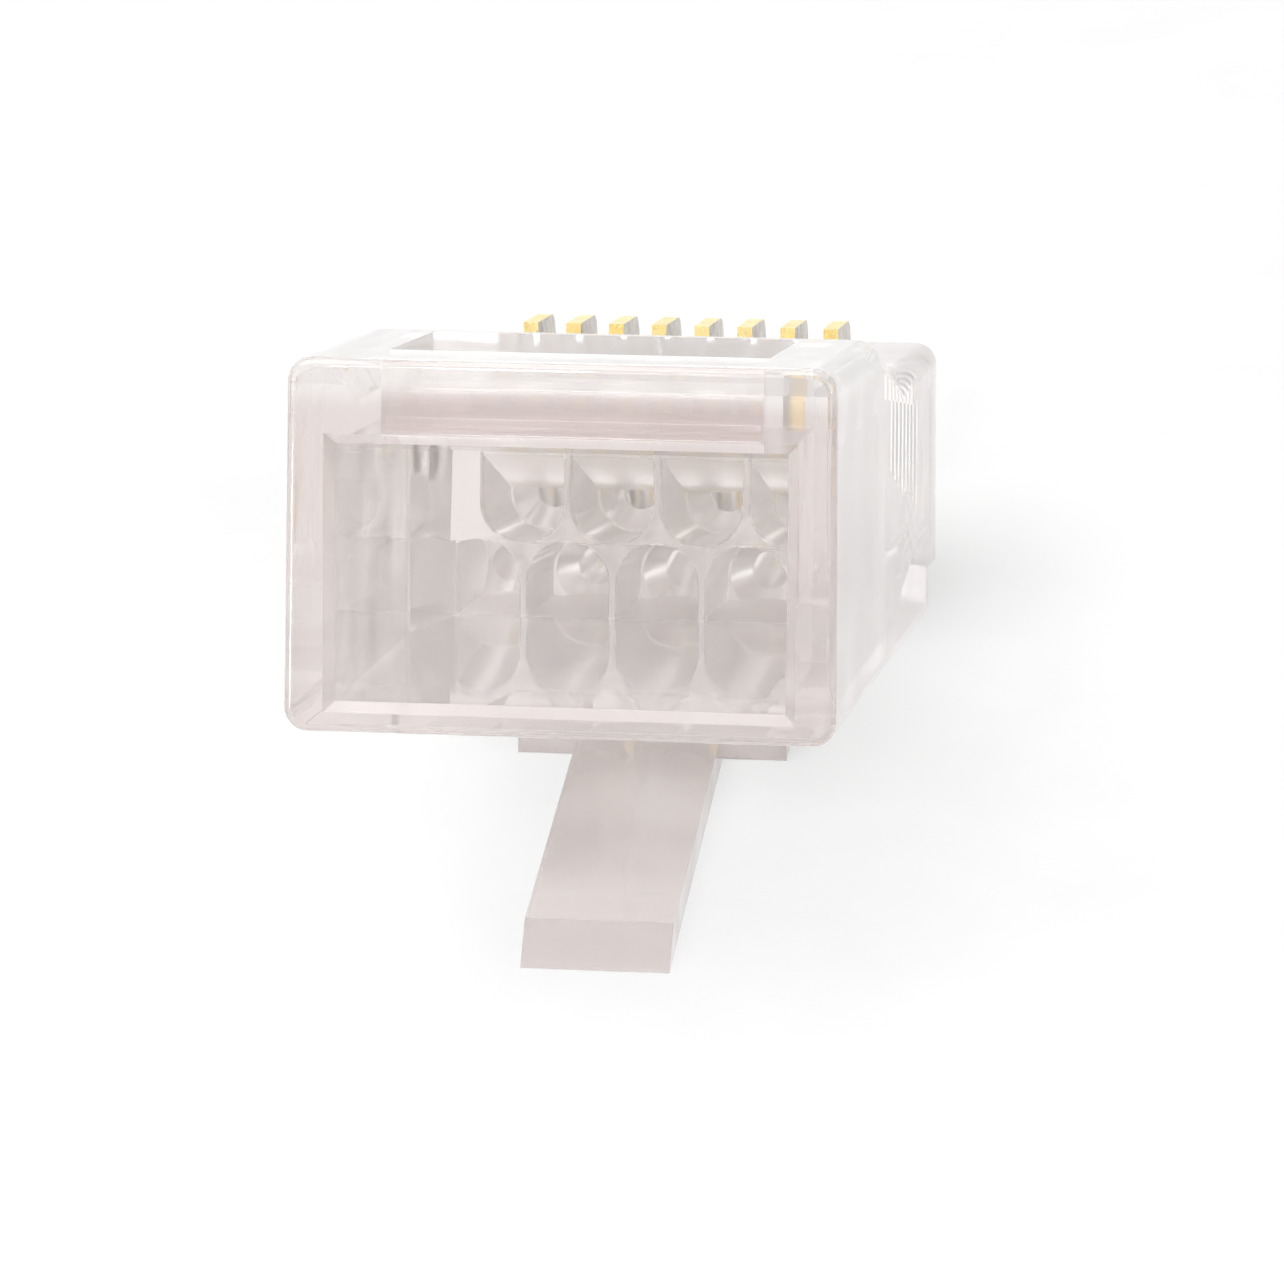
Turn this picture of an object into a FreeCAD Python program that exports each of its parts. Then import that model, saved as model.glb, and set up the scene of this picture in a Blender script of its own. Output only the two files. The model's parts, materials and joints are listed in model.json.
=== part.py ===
import FreeCAD, Part
import os
from math import atan2, cos, degrees, radians, sin, tan

# Eight-position modular plug, uncrimped, in millimetres.
# Every piece is drawn in the plug's own axes: X across, Y from the cable end to the nose,
# Z from the latch side to the contact side, with the body's latch side at Z = 0.
# The last section lays the plug on its latch, as it comes to rest on a bench.

# Body
body_length = 21.46
body_width = 11.68
rear_height = 7.90
crest_height = 7.72
crest_from_rear = 8.50
nose_height = 6.45
ramp_end_from_rear = 13.20
side_draft_deg = 0.53
ramp_bend_radius = 1.00
long_edge_radius = 0.50
end_edge_radius = 0.20
nose_notch_depth = 1.86
nose_notch_height = 1.30

# Cable cavity
mouth_width = 9.54
mouth_chamfer = 0.22
cavity_floor = 0.65
cavity_floor_end = 1.00
cavity_roof = 6.10
cavity_kink_from_rear = 8.80
cavity_kink_width = 9.38
cavity_end_width = 8.16
roof_ramp_from_rear = 8.40
roof_bend_from_rear = 11.00
roof_bend_height = 4.77
roof_end_height = 3.50
comb_foot_from_rear = 11.20
teeth_from_rear = 10.90
teeth_height = 2.72
teeth_root_from_rear = 13.90

# Contacts and their slots
contact_count = 8
contact_pitch = 1.016
contact_thickness = 0.35
contact_top = 7.00
contact_height = 4.25
contact_length = 2.70
contact_nose_gap = 0.30
contact_front_radius = 0.60
contact_tines = 3
tine_depth = 0.85
tine_inset = 0.20
slot_clearance = 0.04
crimp_travel = 0.95
spring_slot_width = 0.62
spring_slot_floor = 5.40
spring_slot_length = 4.30

# Wire guides
guide_throat_from_rear = 15.00
funnel_length = 0.90
funnel_step = 0.02
guide_join_gap = 0.26
guide_end_gap = 0.75
guide_overlap = 0.30
bore_overlap = 0.10
wire_bore_radius = 0.44
wire_axis_height = 2.06
mouth_radius = 0.96
throat_radius = 0.90
lower_mouth_axis = 1.85
lower_throat_axis = 1.62
upper_mouth_axis = 3.67
upper_throat_axis = 3.42

# Strain relief
window_from_rear = 2.60
window_length = 5.40
window_width = 8.12
web_thickness = 0.40
web_height = 6.30
bar_from_rear = 4.90
bar_top = 6.90
bar_bottom = 5.60
bar_edge_radius = 0.15
relief_clearance = 0.05
relief_end_gap = 0.25
relief_side_gap = 0.08

# Latch
latch_angle_deg = 21.1
latch_tip_from_rear = 5.63
latch_lever_width = 3.30
latch_wide_width = 6.26
latch_shoulder_from_rear = 14.36
latch_root_from_rear = 19.10
latch_root_radius = 0.35
latch_root_clearance = 0.05
latch_upper_angle_deg = 16.5
lever_thickness = 0.70
lever_tip_cut = 0.92

# Modelling aids: how near two lengths count as equal, and how far a cutter goes past a face
tolerance = 0.001
beyond = 1.0


def half_width(height):
    """Half of the body's width at a height, narrower towards the contacts by the mould draft."""
    return body_width / 2 - height * tan(radians(side_draft_deg))


def side_prism(points, width, centre_x=0.0):
    """A side outline, given as (Y, Z) points, extruded across the plug."""
    corners = [FreeCAD.Vector(centre_x - width / 2, y, z) for y, z in points]
    face = Part.Face(Part.makePolygon(corners + corners[:1]))
    return face.extrude(FreeCAD.Vector(width, 0, 0))


def plan_prism(points, low, high):
    """A plan outline, given as (X, Y) points, extruded upwards."""
    corners = [FreeCAD.Vector(x, y, low) for x, y in points]
    face = Part.Face(Part.makePolygon(corners + corners[:1]))
    return face.extrude(FreeCAD.Vector(0, 0, high - low))


def block(x_low, x_high, y_low, y_high, z_low, z_high):
    """A box between two corners."""
    corner = FreeCAD.Vector(x_low, y_low, z_low)
    return Part.makeBox(x_high - x_low, y_high - y_low, z_high - z_low, corner)


def contact_x(index):
    """Centre of contact number index, counted from the left as seen from the cable end."""
    return (index - (contact_count + 1) / 2) * contact_pitch


def body_envelope():
    """The outside of the body: drafted sides, crest, ramp and notched nose, all edges rounded."""
    side = side_prism([
        (0, 0),
        (body_length, 0),
        (body_length, nose_height),
        (ramp_end_from_rear, nose_height),
        (crest_from_rear, crest_height),
        (0, rear_height),
    ], 2 * body_width)
    low = half_width(0)
    high = half_width(rear_height)
    corners = [(-low, 0), (low, 0), (high, rear_height), (-high, rear_height), (-low, 0)]
    face = Part.Face(Part.makePolygon([FreeCAD.Vector(x, 0, z) for x, z in corners]))
    solid = side.common(face.extrude(FreeCAD.Vector(0, body_length, 0)))
    bends = [edge for edge in solid.Edges if max(edge.BoundBox.YLength, edge.BoundBox.ZLength) < tolerance
             and beyond < edge.BoundBox.YMin < body_length - beyond]
    solid = solid.makeFillet(ramp_bend_radius, bends)
    long_edges = [edge for edge in solid.Edges if edge.BoundBox.XLength < low - high
                  and edge.BoundBox.YLength > tolerance]
    solid = solid.makeFillet(long_edge_radius, long_edges)
    rims = [edge for edge in solid.Edges if edge.BoundBox.YLength < tolerance
            and (edge.BoundBox.YMin < tolerance or edge.BoundBox.YMax > body_length - tolerance)]
    solid = solid.makeFillet(end_edge_radius, rims)
    notch = block(-body_width, body_width, body_length - nose_notch_depth, body_length + beyond,
                  -beyond, nose_notch_height)
    return solid.cut(notch)


def roof_height(y):
    """Height of the lower part of the roof ramp, which runs on over the upper guides."""
    run = (y - roof_bend_from_rear) / (guide_throat_from_rear - roof_bend_from_rear)
    return roof_bend_height + run * (roof_end_height - roof_bend_height)


def cable_cavity():
    """The space for the cable: a side outline, with the ramp to the lower guides under the teeth
    between the upper guides, met by a plan outline."""
    side = side_prism([
        (0, cavity_floor),
        (comb_foot_from_rear, cavity_floor_end),
        (teeth_root_from_rear, teeth_height),
        (teeth_from_rear, teeth_height),
        (roof_bend_from_rear, roof_bend_height),
        (roof_ramp_from_rear, cavity_roof),
        (0, cavity_roof),
    ], body_width)
    outline = [
        (mouth_width / 2, 0),
        (cavity_kink_width / 2, cavity_kink_from_rear),
        (cavity_end_width / 2, comb_foot_from_rear),
    ]
    outline += [(-x, y) for x, y in reversed(outline)]
    return side.common(plan_prism(outline, 0, rear_height))


def mouth_bevel():
    """The bevelled lip round the cable mouth."""
    rings = []
    for y, grow in ((-tolerance, mouth_chamfer), (mouth_chamfer, 0.0)):
        x = mouth_width / 2 + grow
        low = cavity_floor - grow
        high = cavity_roof + grow
        corners = [(-x, low), (x, low), (x, high), (-x, high), (-x, low)]
        rings.append(Part.makePolygon([FreeCAD.Vector(px, y, pz) for px, pz in corners]))
    return Part.makeLoft(rings, True, True)


def lead_in(x, mouth_axis, throat_axis, rises):
    """The wide start of one wire guide: a half cone, with flat walls up to the roof or down to the floor."""
    y_mouth = teeth_from_rear - guide_overlap
    y_throat = guide_throat_from_rear
    wide = [(mouth_radius, y_mouth), (throat_radius, y_throat)]
    half = [(0, y_mouth)] + wide + [(0, y_throat), (0, y_mouth)]
    face = Part.Face(Part.makePolygon([FreeCAD.Vector(x + dx, y, mouth_axis) for dx, y in half]))
    turn = 180 if rises else -180
    cone = face.revolve(FreeCAD.Vector(x, 0, mouth_axis), FreeCAD.Vector(0, 1, 0), turn)
    tilt = degrees(atan2(throat_axis - mouth_axis, y_throat - y_mouth))
    cone.rotate(FreeCAD.Vector(x, y_mouth, mouth_axis), FreeCAD.Vector(1, 0, 0), tilt)
    plan = [(x + dx, y) for dx, y in wide] + [(x - dx, y) for dx, y in reversed(wide)]
    if rises:
        far_mouth, far_throat = roof_height(y_mouth), roof_height(y_throat)
    else:
        far_mouth, far_throat = cavity_floor_end, cavity_floor_end
    side = side_prism([
        (y_mouth, mouth_axis),
        (y_throat, throat_axis),
        (y_throat, far_throat),
        (y_mouth, far_mouth),
    ], body_width)
    return cone.fuse(plan_prism(plan, 0, rear_height).common(side))


def bore(x, y_start, z_start, y_end, z_end):
    """A round wire bore between two points of a contact's own plane, a little longer at each end."""
    run = FreeCAD.Vector(0, y_end - y_start, z_end - z_start)
    way = FreeCAD.Vector(run).normalize()
    start = FreeCAD.Vector(x, y_start, z_start) - way * bore_overlap
    return Part.makeCylinder(wire_bore_radius, run.Length + 2 * bore_overlap, start, way)


def guide_join():
    """Distance from the cable end to the bend of each wire bore, just short of the contacts."""
    return contact_rear() - guide_join_gap


def wire_guide(index):
    """One wire guide: odd ones open low and even ones high, and all end in one row under the contacts."""
    x = contact_x(index)
    if index % 2:
        lead = lead_in(x, lower_mouth_axis, lower_throat_axis, False)
        throat = FreeCAD.Vector(x, guide_throat_from_rear, lower_throat_axis)
    else:
        lead = lead_in(x, upper_mouth_axis, upper_throat_axis, True)
        throat = FreeCAD.Vector(x, guide_throat_from_rear, upper_throat_axis)
    along = FreeCAD.Vector(0, 1, 0)
    funnel = Part.makeCone(throat_radius - funnel_step, wire_bore_radius, funnel_length + bore_overlap,
                           throat - along * bore_overlap, along)
    half = cavity_end_width / 2
    low = cavity_floor_end
    high = roof_height(guide_throat_from_rear)
    inside = block(-half, half, 0, body_length, low, rear_height)
    under_roof = block(-half, half, 0, body_length, low, high)
    funnel_end = guide_throat_from_rear + funnel_length
    slanted = bore(x, funnel_end, throat.z, guide_join(), wire_axis_height)
    straight = bore(x, guide_join(), wire_axis_height, body_length - guide_end_gap, wire_axis_height)
    return [lead.common(inside), funnel.common(under_roof), slanted, straight]


def contact_rear():
    """Distance of a contact's rear edge from the cable end."""
    return body_length - contact_nose_gap - contact_length


def contact_slot(index):
    """The slot that holds one contact, with the wider slot above it for the socket's spring wire."""
    x = contact_x(index)
    half = contact_thickness / 2 + slot_clearance
    rear = contact_rear()
    front = rear + contact_length
    low = contact_top - contact_height - crimp_travel - slot_clearance
    grip = block(x - half, x + half, rear - slot_clearance, front + slot_clearance, low, rear_height)
    spring_rear = body_length - spring_slot_length
    spring = block(x - spring_slot_width / 2, x + spring_slot_width / 2,
                   spring_rear, body_length + beyond, spring_slot_floor, rear_height)
    return grip.fuse(spring)


def relief_window():
    """The window in the roof over the cavity, where the strain relief lies."""
    half = window_width / 2
    front = window_from_rear + window_length
    return block(-half, half, window_from_rear, front, bar_bottom, rear_height + beyond)


def latch_pivot():
    """Centre of the latch's rounded root, just under the body, which its swing turns about."""
    return FreeCAD.Vector(0, latch_root_from_rear, -latch_root_radius - latch_root_clearance)


def latch_line(y):
    """Height of the latch's outer face at a distance from the cable end."""
    pivot = latch_pivot()
    angle = radians(latch_angle_deg)
    return pivot.z - latch_root_radius / cos(angle) - (pivot.y - y) * tan(angle)


def housing():
    """The clear body, with everything that is cut into it."""
    solid = body_envelope()
    cutters = [cable_cavity(), mouth_bevel(), relief_window()]
    for index in range(1, contact_count + 1):
        cutters += wire_guide(index) + [contact_slot(index)]
    for cutter in cutters:
        solid = solid.cut(cutter)
    return solid.removeSplitter()


def contact(index):
    """One blade: a rounded front corner for the socket's spring, and sharp tines for the wire."""
    x = contact_x(index)
    rear = contact_rear()
    front = rear + contact_length
    bottom = contact_top - contact_height
    r = contact_front_radius
    valley = bottom + tine_depth
    step = (contact_length - 2 * tine_inset) / contact_tines
    tines = [(front, valley + tine_inset)]
    for number in range(contact_tines):
        base = front - tine_inset - number * step
        tines += [(base, valley), (base - step / 2, bottom)]
    tines += [(rear + tine_inset, valley), (rear, valley + tine_inset)]
    points = [(rear, contact_top), (front - r, contact_top)]
    arc_mid = (front - r + r * sin(radians(45)), contact_top - r + r * cos(radians(45)))
    here = x - contact_thickness / 2

    def at(point):
        return FreeCAD.Vector(here, point[0], point[1])

    corner = Part.Arc(at(points[1]), at(arc_mid), at((front, contact_top - r))).toShape()
    edges = [Part.makeLine(at(points[0]), at(points[1])), corner]
    outline = [(front, contact_top - r)] + tines + [points[0]]
    edges += [Part.makeLine(at(a), at(b)) for a, b in zip(outline, outline[1:])]
    return Part.Face(Part.Wire(edges)).extrude(FreeCAD.Vector(contact_thickness, 0, 0))


def relief_pivot():
    """Centre of the rounded end of the strain relief's web, which its swing turns about."""
    radius = web_thickness / 2
    return FreeCAD.Vector(0, window_from_rear + relief_clearance + radius, web_height)


def strain_relief():
    """The clamp bar on its thin web, in the roof window."""
    pivot = relief_pivot()
    radius = web_thickness / 2
    half = window_width / 2 - relief_side_gap
    front = window_from_rear + window_length - relief_end_gap
    knuckle = Part.makeCylinder(radius, 2 * half, pivot - FreeCAD.Vector(half, 0, 0), FreeCAD.Vector(1, 0, 0))
    web = block(-half, half, pivot.y, bar_from_rear + bar_edge_radius, pivot.z - radius, pivot.z + radius)
    bar = block(-half, half, bar_from_rear, front, bar_bottom, bar_top)
    long_edges = [edge for edge in bar.Edges if edge.BoundBox.XLength > half]
    bar = bar.makeFillet(bar_edge_radius, long_edges)
    return knuckle.fuse(web).fuse(bar).removeSplitter()


def latch():
    """The spring lever: a wedge from the root to the two shoulders, then the narrow lever."""
    pivot = latch_pivot()
    angle = radians(latch_angle_deg)
    upper = radians(latch_upper_angle_deg)
    root_low = (pivot.y + latch_root_radius * sin(angle), pivot.z - latch_root_radius * cos(angle))
    root_high = (pivot.y - latch_root_radius * sin(upper), pivot.z + latch_root_radius * cos(upper))
    shoulder = latch_shoulder_from_rear
    run = root_high[0] - shoulder
    shoulder_high = (shoulder, root_high[1] - run * tan(upper))
    shoulder_low = (shoulder, latch_line(shoulder))
    wedge = side_prism([root_low, root_high, shoulder_high, shoulder_low], latch_wide_width)
    start = pivot - FreeCAD.Vector(latch_wide_width / 2, 0, 0)
    root = Part.makeCylinder(latch_root_radius, latch_wide_width, start, FreeCAD.Vector(1, 0, 0))
    rise = lever_thickness / cos(angle)
    inside = shoulder + beyond
    tip_high_from_rear = latch_tip_from_rear + lever_tip_cut * sin(radians(45))
    lever = side_prism([
        (latch_tip_from_rear, latch_line(latch_tip_from_rear)),
        (inside, latch_line(inside)),
        (inside, latch_line(inside) + rise),
        (tip_high_from_rear, latch_line(tip_high_from_rear) + rise),
    ], latch_lever_width)
    return wedge.fuse(root).fuse(lever).removeSplitter()


os.makedirs("parts", exist_ok=True)
pieces = {"housing": housing(), "latch": latch(), "strain_relief": strain_relief()}
for number in range(1, contact_count + 1):
    pieces[f"contact_{number}"] = contact(number)

# Rest on the bench: the plug lies on the outer face of its latch, nose down,
# with the middle of its plan at the origin and its lowest face at Z = 0.
turned = FreeCAD.Rotation(FreeCAD.Vector(1, 0, 0), -latch_angle_deg)
level = FreeCAD.Placement(FreeCAD.Vector(0, 0, 0), turned)
for piece in pieces.values():
    piece.Placement = level
extent = Part.makeCompound(list(pieces.values())).optimalBoundingBox(False, False)
shift = FreeCAD.Vector(0, -(extent.YMin + extent.YMax) / 2, -extent.ZMin)
print("rest shift", round(shift.y, 4), round(shift.z, 4))
for name, piece in pieces.items():
    piece.Placement = FreeCAD.Placement(shift, turned)
    piece.exportStep(f"parts/{name}.step")
    print(name, "valid", piece.isValid(), "solids", len(piece.Solids), "volume", round(piece.Volume, 3))
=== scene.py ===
import json
import math

import bpy
from mathutils import Matrix, Vector

# Clear modular plug on a white bench: the finish of every piece, the studio light and the camera.
# Metres throughout. The plug's own axes are read from the frame: across, along (cable end to
# nose) and up (latch side to contact side), with their origin under the cable mouth.

MM = 0.001

# Camera, in the plug's own axes
CAMERA_AZIMUTH = math.radians(8.03)
CAMERA_ELEVATION = math.radians(8.10)
CAMERA_ROLL = math.radians(0.58)
CAMERA_DISTANCE = 144.07 * MM
CAMERA_TARGET = (0.64 * MM, 8.0 * MM, 0.97 * MM)
CAMERA_LENS = 183.24
CAMERA_CLIP_START = 5.0 * MM
SENSOR_WIDTH = 36.0

# Height of the middle of the cable mouth above the body's underside
MOUTH_MIDDLE_HEIGHT = 3.375 * MM

# Soft borders of the zones of the clear plastic, in the plug's own axes: where one zone ends
# and where the next is complete
CAVITY_SIDES = (4.9 * MM, 5.2 * MM)
CAVITY_MOUTH = (0.3 * MM, 0.6 * MM)
CAVITY_END = (20.2 * MM, 20.9 * MM)
CAVITY_FLOOR = (0.3 * MM, 0.6 * MM)
CAVITY_ROOF = (6.1 * MM, 6.4 * MM)
WIRE_GUIDES = (9.6 * MM, 11.6 * MM)
TOP_FACES = (6.8 * MM, 7.3 * MM)
LATCH_TIP = (-4.8 * MM, -3.8 * MM)

# Tints of the clear plastic, the first two as the darker and the paler of a slow mottle.
# The paler colours inside the cavity, on the top faces and at the latch's tip are painted light.
BODY_TINTS = ((0.74, 0.665, 0.65, 1), (0.83, 0.765, 0.75, 1))
LATCH_TINTS = ((0.66, 0.59, 0.57, 1), (0.84, 0.78, 0.76, 1))
# Painted light: a paler colour on the walls of the cavity and wire guides, lifting the shade inside the body
CAVITY_PAINTED_LIGHT = (0.95, 0.915, 0.895, 1)
CAVITY_PAINTED_LIGHT_SHARE = 0.6
# Painted light: a paler colour on the top faces, as if lit from above
TOP_PAINTED_LIGHT = (0.99, 0.975, 0.965, 1)
# Painted light: a paler colour at the latch's tip
LATCH_TIP_PAINTED_LIGHT = (0.88, 0.815, 0.80, 1)

# Optics of the clear plastic. Lamp light goes straight through each wall but for a small loss.
CLEARNESS = 0.80
POLYCARBONATE_IOR = 1.586
PASSING_LIGHT = 0.85
POLISHED_ROUGHNESS = 0.02
HAZY_ROUGHNESS = 0.10
GUIDE_ROUGHNESS = 0.28

# Sizes of the patterns in the clear plastic, in features per metre, and the height of its waves
MOTTLE_SCALE = 260.0
HAZE_SCALE = 900.0
WAVE_SCALE = 420.0
WAVE_HEIGHT = 0.08 * MM

# How the flow waves stretch along each axis, and how strong they are
BODY_WAVES = ((1, 1, 1), 0.2)
LATCH_WAVES = ((0.4, 2.5, 2.5), 0.35)

# The contacts: plated edges, bare flat sides, and the fine grain of both
PLATED_EDGES = ((0.92, 0.70, 0.24, 1), (1.00, 0.84, 0.42, 1))
BARE_SIDES = ((0.46, 0.42, 0.37, 1), (0.58, 0.53, 0.47, 1))
CONTACT_ROUGHNESS = (0.22, 0.38)
FACING_SIDEWAYS = (0.6, 0.8)
STAIN_SCALE = 1500.0
GRAIN_SCALE = 4000.0

# The bench lies a hair under the latch, so the two level faces don't coincide
BENCH_GAP = 0.02 * MM
BENCH_HALF_WIDTH = 1.5
BENCH_GREYS = (0.90, 0.92)
BENCH_SCALE = 300.0
BENCH_ROUGHNESS = 0.9
BENCH_WHITE_FROM = (60.0 * MM, 200.0 * MM)

# Lamps: name, place, width of the square and power in watts
LAMPS = (
    ("key", (-0.10, -0.05, 0.30), 0.25, 0.55),
    ("side", (0.30, -0.10, 0.15), 0.12, 0.10),
    ("back", (-0.05, 0.40, 0.16), 0.07, 0.10),
    ("front_glint", (-0.06, -0.30, 0.22), 0.02, 0.10),
    ("left_glint", (-0.25, -0.28, 0.06), 0.03, 0.12),
    ("right_glint", (0.26, -0.22, 0.10), 0.02, 0.08),
)
ROOM_LIGHT = 0.75

# Light bounces: enough for the many clear walls that lie behind each other
CLEAR_BOUNCES = 24
GLOSSY_BOUNCES = 8

# Places of the colour sockets on a mix node
MIX_FIRST = 6
MIX_SECOND = 7
MIX_RESULT = 2

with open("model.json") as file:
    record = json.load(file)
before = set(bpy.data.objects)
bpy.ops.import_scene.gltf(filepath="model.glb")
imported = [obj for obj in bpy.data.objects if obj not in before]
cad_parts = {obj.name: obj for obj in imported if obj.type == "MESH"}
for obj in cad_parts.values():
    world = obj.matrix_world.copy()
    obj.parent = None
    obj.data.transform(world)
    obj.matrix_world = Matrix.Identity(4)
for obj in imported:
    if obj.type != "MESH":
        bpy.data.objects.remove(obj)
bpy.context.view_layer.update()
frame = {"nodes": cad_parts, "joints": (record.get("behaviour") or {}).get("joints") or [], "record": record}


def plug_axes():
    """Origin, and the across, along and up directions, from the mouth and a contact's slide."""
    joint = next(j for j in frame["joints"] if j["name"] == "contact_1_crimp")
    up = -Vector(joint["axis"]).normalized()
    across = Vector((1, 0, 0))
    along = up.cross(across)
    mouth = next(m for m in frame["record"]["mounts"] if m["name"] == "cable_entry")
    return Vector(mouth["pos_m"]) - up * MOUTH_MIDDLE_HEIGHT, across, along, up


ORIGIN, ACROSS, ALONG, UP = plug_axes()


def place(x, y, z):
    """A point of the plug's own axes, in the frame."""
    return ORIGIN + ACROSS * x + ALONG * y + UP * z


def grey(level):
    """A grey colour, also used to carry a single value through a colour ramp or mix."""
    return (level, level, level, 1)


def node(tree, kind, **inputs):
    """Adds one shader node and sets its unlinked inputs by name."""
    made = tree.nodes.new(kind)
    for name, value in inputs.items():
        made.inputs[name.replace("_", " ")].default_value = value
    return made


def new_material(name):
    """An empty material with its node tree, its Principled shader and its coordinates."""
    material = bpy.data.materials.new(name)
    material.use_nodes = True
    tree = material.node_tree
    tree.nodes.clear()
    output = tree.nodes.new("ShaderNodeOutputMaterial")
    shader = tree.nodes.new("ShaderNodeBsdfPrincipled")
    tree.links.new(shader.outputs["BSDF"], output.inputs["Surface"])
    coordinates = tree.nodes.new("ShaderNodeTexCoord")
    return material, tree, shader, coordinates.outputs


def math_node(tree, operation, *values):
    """A math node whose inputs are sockets or plain numbers."""
    made = tree.nodes.new("ShaderNodeMath")
    made.operation = operation
    for socket, value in zip(made.inputs, values):
        if isinstance(value, (int, float)):
            socket.default_value = value
        else:
            tree.links.new(value, socket)
    return made.outputs[0]


def mix_colors(tree, factor, first, second):
    """A colour mix whose colours are sockets or plain values."""
    made = tree.nodes.new("ShaderNodeMix")
    made.data_type = "RGBA"
    tree.links.new(factor, made.inputs["Factor"])
    for socket, value in ((made.inputs[MIX_FIRST], first), (made.inputs[MIX_SECOND], second)):
        if isinstance(value, tuple):
            socket.default_value = value
        else:
            tree.links.new(value, socket)
    return made.outputs[MIX_RESULT]


def mix_shaders(tree, factor, first, second):
    """A mix of two shaders."""
    made = tree.nodes.new("ShaderNodeMixShader")
    for socket, value in zip(made.inputs, (factor, first, second)):
        tree.links.new(value, socket)
    return made.outputs[0]


def rise(tree, value, limits):
    """0 below the first limit and 1 above the second, with a smooth step between them."""
    low, high = limits
    made = node(tree, "ShaderNodeMapRange", From_Min=low, From_Max=high)
    made.interpolation_type = "SMOOTHSTEP"
    tree.links.new(value, made.inputs["Value"])
    return made.outputs[0]


def fall(tree, value, limits):
    """1 below the first limit and 0 above the second."""
    return math_node(tree, "SUBTRACT", 1.0, rise(tree, value, limits))


def noise(tree, vector, scale, detail, roughness=0.5):
    """A noise texture, with its size given as features per metre."""
    made = node(tree, "ShaderNodeTexNoise", Scale=scale, Detail=detail, Roughness=roughness)
    tree.links.new(vector, made.inputs["Vector"])
    return made.outputs["Fac"]


def ramp(tree, factor, colors, low=0.3, high=0.7):
    """A ramp between two colours, flat below and above its two positions."""
    made = tree.nodes.new("ShaderNodeValToRGB")
    for element, position, color in zip(made.color_ramp.elements, (low, high), colors):
        element.position = position
        element.color = color
    tree.links.new(factor, made.inputs["Fac"])
    return made.outputs["Color"]


def plug_coordinates(tree, where):
    """The shaded point's distances across, along and up the plug."""
    turn = Matrix((ACROSS, ALONG, UP))
    made = node(tree, "ShaderNodeMapping", Location=-(turn @ ORIGIN), Rotation=turn.to_euler())
    tree.links.new(where, made.inputs["Vector"])
    split = tree.nodes.new("ShaderNodeSeparateXYZ")
    tree.links.new(made.outputs[0], split.inputs[0])
    return split.outputs


def cavity_mask(tree, across, along, up):
    """1 on the walls of the cavity and the wire guides, and 0 on the outside of the body."""
    mask = fall(tree, math_node(tree, "ABSOLUTE", across), CAVITY_SIDES)
    for edge in (rise(tree, along, CAVITY_MOUTH), fall(tree, along, CAVITY_END),
                 rise(tree, up, CAVITY_FLOOR), fall(tree, up, CAVITY_ROOF)):
        mask = math_node(tree, "MULTIPLY", mask, edge)
    return mask


def mottle_and_painted_light(tree, where, inside, up, mottle):
    """A slow mottle of two tints, with painted light making it paler inside the body, on its top and at the
    latch's tip.
    """
    tint_and_painted_light = ramp(tree, noise(tree, where, MOTTLE_SCALE, detail=1.0), mottle)
    # Painted light: paler inside the cavity, lifting its shade
    share = math_node(tree, "MULTIPLY", inside, CAVITY_PAINTED_LIGHT_SHARE)
    tint_and_painted_light = mix_colors(tree, share, tint_and_painted_light, CAVITY_PAINTED_LIGHT)
    # Painted light: paler on the top faces, as if lit from above
    tint_and_painted_light = mix_colors(tree, rise(tree, up, TOP_FACES), tint_and_painted_light, TOP_PAINTED_LIGHT)
    # Painted light: paler at the latch's tip
    return mix_colors(tree, rise(tree, up, LATCH_TIP), LATCH_TIP_PAINTED_LIGHT, tint_and_painted_light)


def clear_roughness(tree, where, inside, along):
    """Polished with a fine haze, and duller on the moulded wire guides."""
    levels = (grey(POLISHED_ROUGHNESS), grey(HAZY_ROUGHNESS))
    pattern = noise(tree, where, HAZE_SCALE, detail=1.0, roughness=0.6)
    haze = ramp(tree, pattern, levels, low=0.35, high=0.75)
    guides = math_node(tree, "MULTIPLY", inside, rise(tree, along, WIRE_GUIDES))
    return mix_colors(tree, guides, haze, grey(GUIDE_ROUGHNESS))


def flow_waves(tree, where, waves):
    """The normal of a surface with shallow moulding waves."""
    stretch, strength = waves
    stretched = node(tree, "ShaderNodeMapping", Scale=stretch)
    tree.links.new(where, stretched.inputs["Vector"])
    bump = node(tree, "ShaderNodeBump", Strength=strength, Distance=WAVE_HEIGHT)
    height = noise(tree, stretched.outputs[0], WAVE_SCALE, detail=0.0)
    tree.links.new(height, bump.inputs["Height"])
    return bump.outputs["Normal"]


def straight_light(tree):
    """The wall's opacity: whole to the eye, but open to diffuse light and nearly so to lamps."""
    kinds = tree.nodes.new("ShaderNodeLightPath").outputs
    lamp_light = math_node(tree, "MULTIPLY", kinds["Is Shadow Ray"], PASSING_LIGHT)
    passing = math_node(tree, "MAXIMUM", lamp_light, kinds["Is Diffuse Ray"])
    return math_node(tree, "SUBTRACT", 1.0, passing)


def clear_plastic(name, mottle, waves):
    """Moulded polycarbonate: clear, a little milky and pinkish, with painted light in its paler zones."""
    material, tree, shader, coordinates = new_material(name)
    where = coordinates["Object"]
    across, along, up = plug_coordinates(tree, where)
    inside = cavity_mask(tree, across, along, up)
    shader.inputs["Transmission Weight"].default_value = CLEARNESS
    shader.inputs["IOR"].default_value = POLYCARBONATE_IOR
    tree.links.new(mottle_and_painted_light(tree, where, inside, up, mottle), shader.inputs["Base Color"])
    tree.links.new(clear_roughness(tree, where, inside, along), shader.inputs["Roughness"])
    tree.links.new(flow_waves(tree, where, waves), shader.inputs["Normal"])
    tree.links.new(straight_light(tree), shader.inputs["Alpha"])
    return material


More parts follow.
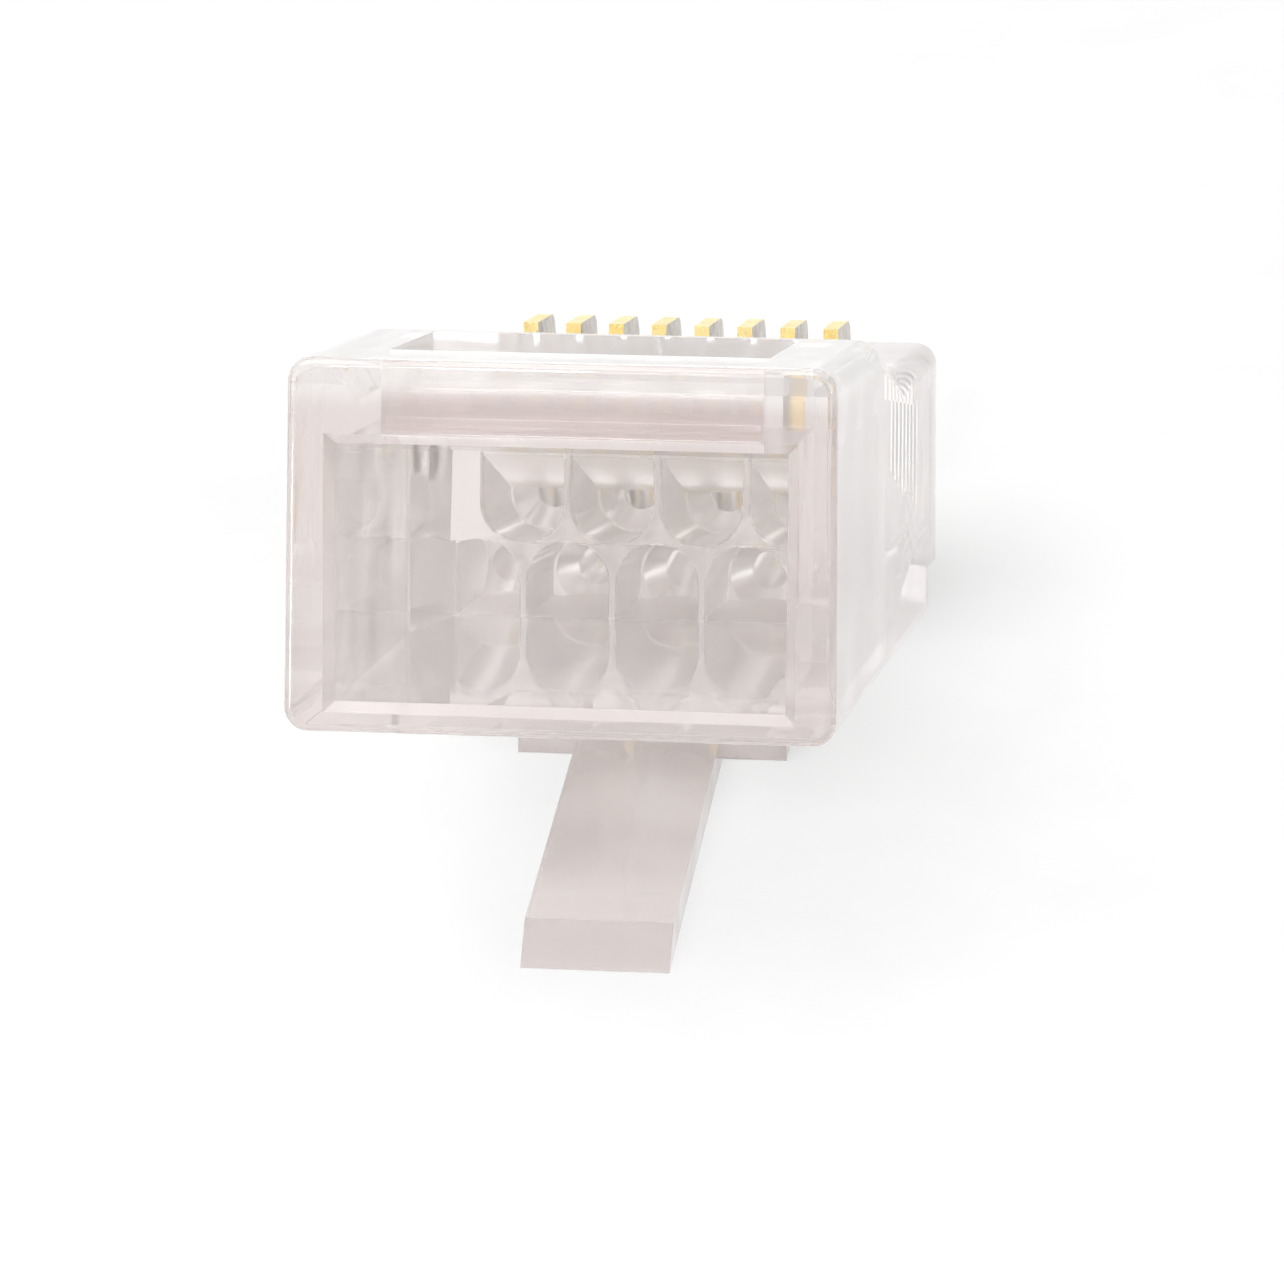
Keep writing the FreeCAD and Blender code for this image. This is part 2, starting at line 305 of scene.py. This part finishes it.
def gold_plate(name):
    """Stamped blade, gold-plated on its edges and bare greyish metal on its two flat sides."""
    material, tree, shader, coordinates = new_material(name)
    where = coordinates["Object"]
    shader.inputs["Metallic"].default_value = 1.0
    stain = noise(tree, where, STAIN_SCALE, detail=3.0)
    plated = ramp(tree, stain, PLATED_EDGES)
    bare = ramp(tree, stain, BARE_SIDES)
    split = tree.nodes.new("ShaderNodeSeparateXYZ")
    tree.links.new(coordinates["Normal"], split.inputs[0])
    flat_side = rise(tree, math_node(tree, "ABSOLUTE", split.outputs[0]), FACING_SIDEWAYS)
    tree.links.new(mix_colors(tree, flat_side, plated, bare), shader.inputs["Base Color"])
    levels = [grey(level) for level in CONTACT_ROUGHNESS]
    rough = ramp(tree, noise(tree, where, GRAIN_SCALE, detail=4.0, roughness=0.6), levels)
    tree.links.new(rough, shader.inputs["Roughness"])
    return material


def dress():
    """Gives every node its material."""
    clear = clear_plastic("clear_polycarbonate", BODY_TINTS, BODY_WAVES)
    strip = clear_plastic("clear_latch", LATCH_TINTS, LATCH_WAVES)
    gold = gold_plate("gold_plating")
    finishes = {"housing": clear, "strain_relief": clear, "latch": strip}
    for name, piece in frame["nodes"].items():
        piece.data.materials.clear()
        piece.data.materials.append(finishes.get(name, gold))


def make_camera():
    """The photograph's camera, placed in the plug's own axes."""
    back = (ACROSS * math.sin(CAMERA_AZIMUTH) * math.cos(CAMERA_ELEVATION)
            - ALONG * math.cos(CAMERA_AZIMUTH) * math.cos(CAMERA_ELEVATION)
            + UP * math.sin(CAMERA_ELEVATION))
    level_right = (-back).cross(UP).normalized()
    level_top = level_right.cross(-back)
    right = level_right * math.cos(CAMERA_ROLL) + level_top * math.sin(CAMERA_ROLL)
    top = level_top * math.cos(CAMERA_ROLL) - level_right * math.sin(CAMERA_ROLL)
    data = bpy.data.cameras.new("camera")
    data.sensor_width = SENSOR_WIDTH
    data.lens = CAMERA_LENS
    data.clip_start = CAMERA_CLIP_START
    camera = bpy.data.objects.new("camera", data)
    bpy.context.scene.collection.objects.link(camera)
    turned = Matrix((right, top, back)).transposed().to_4x4()
    moved = Matrix.Translation(place(*CAMERA_TARGET) + back * CAMERA_DISTANCE)
    camera.matrix_world = moved @ turned
    bpy.context.scene.camera = camera


def whiten_far_bench(tree, shader, where):
    """Shows the bench as plain white away from the plug, where the lamps don't reach."""
    distance = tree.nodes.new("ShaderNodeVectorMath")
    distance.operation = "LENGTH"
    tree.links.new(where, distance.inputs[0])
    kinds = tree.nodes.new("ShaderNodeLightPath").outputs
    seen = math_node(tree, "MAXIMUM", kinds["Is Camera Ray"], kinds["Is Transmission Ray"])
    far = rise(tree, distance.outputs["Value"], BENCH_WHITE_FROM)
    white = node(tree, "ShaderNodeEmission", Strength=1.0)
    mixed = mix_shaders(tree, math_node(tree, "MULTIPLY", seen, far),
                        shader.outputs["BSDF"], white.outputs[0])
    output = next(item for item in tree.nodes if item.bl_idname == "ShaderNodeOutputMaterial")
    tree.links.new(mixed, output.inputs["Surface"])


def make_floor():
    """A wide pale bench top."""
    half = BENCH_HALF_WIDTH
    low = -BENCH_GAP
    corners = [(-half, -half, low), (half, -half, low), (half, half, low), (-half, half, low)]
    mesh = bpy.data.meshes.new("bench")
    mesh.from_pydata(corners, [], [(0, 1, 2, 3)])
    floor = bpy.data.objects.new("bench", mesh)
    bpy.context.scene.collection.objects.link(floor)
    material, tree, shader, coordinates = new_material("bench_white")
    where = coordinates["Object"]
    shader.inputs["Roughness"].default_value = BENCH_ROUGHNESS
    shader.inputs["Specular IOR Level"].default_value = 0.0
    greys = [grey(level) for level in BENCH_GREYS]
    pale = ramp(tree, noise(tree, where, BENCH_SCALE, detail=2.0), greys)
    tree.links.new(pale, shader.inputs["Base Color"])
    whiten_far_bench(tree, shader, where)
    mesh.materials.append(material)


def make_lamps():
    """A broad soft lamp over the plug, two smaller ones and three small ones for glints."""
    for name, spot, width, power in LAMPS:
        data = bpy.data.lights.new(name, "AREA")
        data.size = width
        data.energy = power
        lamp = bpy.data.objects.new(name, data)
        turned = Vector(spot).to_track_quat("Z", "Y").to_matrix().to_4x4()
        lamp.matrix_world = Matrix.Translation(spot) @ turned
        lamp.visible_camera = False
        bpy.context.scene.collection.objects.link(lamp)


def make_room():
    """A white room, which lights the plug less strongly than it is seen."""
    world = bpy.data.worlds.new("room")
    world.use_nodes = True
    bpy.context.scene.world = world
    tree = world.node_tree
    tree.nodes.clear()
    output = tree.nodes.new("ShaderNodeOutputWorld")
    light = node(tree, "ShaderNodeBackground", Strength=ROOM_LIGHT)
    seen = node(tree, "ShaderNodeBackground", Color=grey(1.0), Strength=1.0)
    kinds = tree.nodes.new("ShaderNodeLightPath").outputs
    straight = math_node(tree, "MAXIMUM", kinds["Is Camera Ray"], kinds["Is Glossy Ray"])
    shown = math_node(tree, "MAXIMUM", straight, kinds["Is Transmission Ray"])
    mixed = mix_shaders(tree, shown, light.outputs[0], seen.outputs[0])
    tree.links.new(mixed, output.inputs["Surface"])


scene = bpy.context.scene
scene.view_settings.view_transform = "Standard"
scene.cycles.max_bounces = CLEAR_BOUNCES
scene.cycles.transmission_bounces = CLEAR_BOUNCES
scene.cycles.glossy_bounces = GLOSSY_BOUNCES
dress()
make_camera()
make_floor()
make_lamps()
make_room()
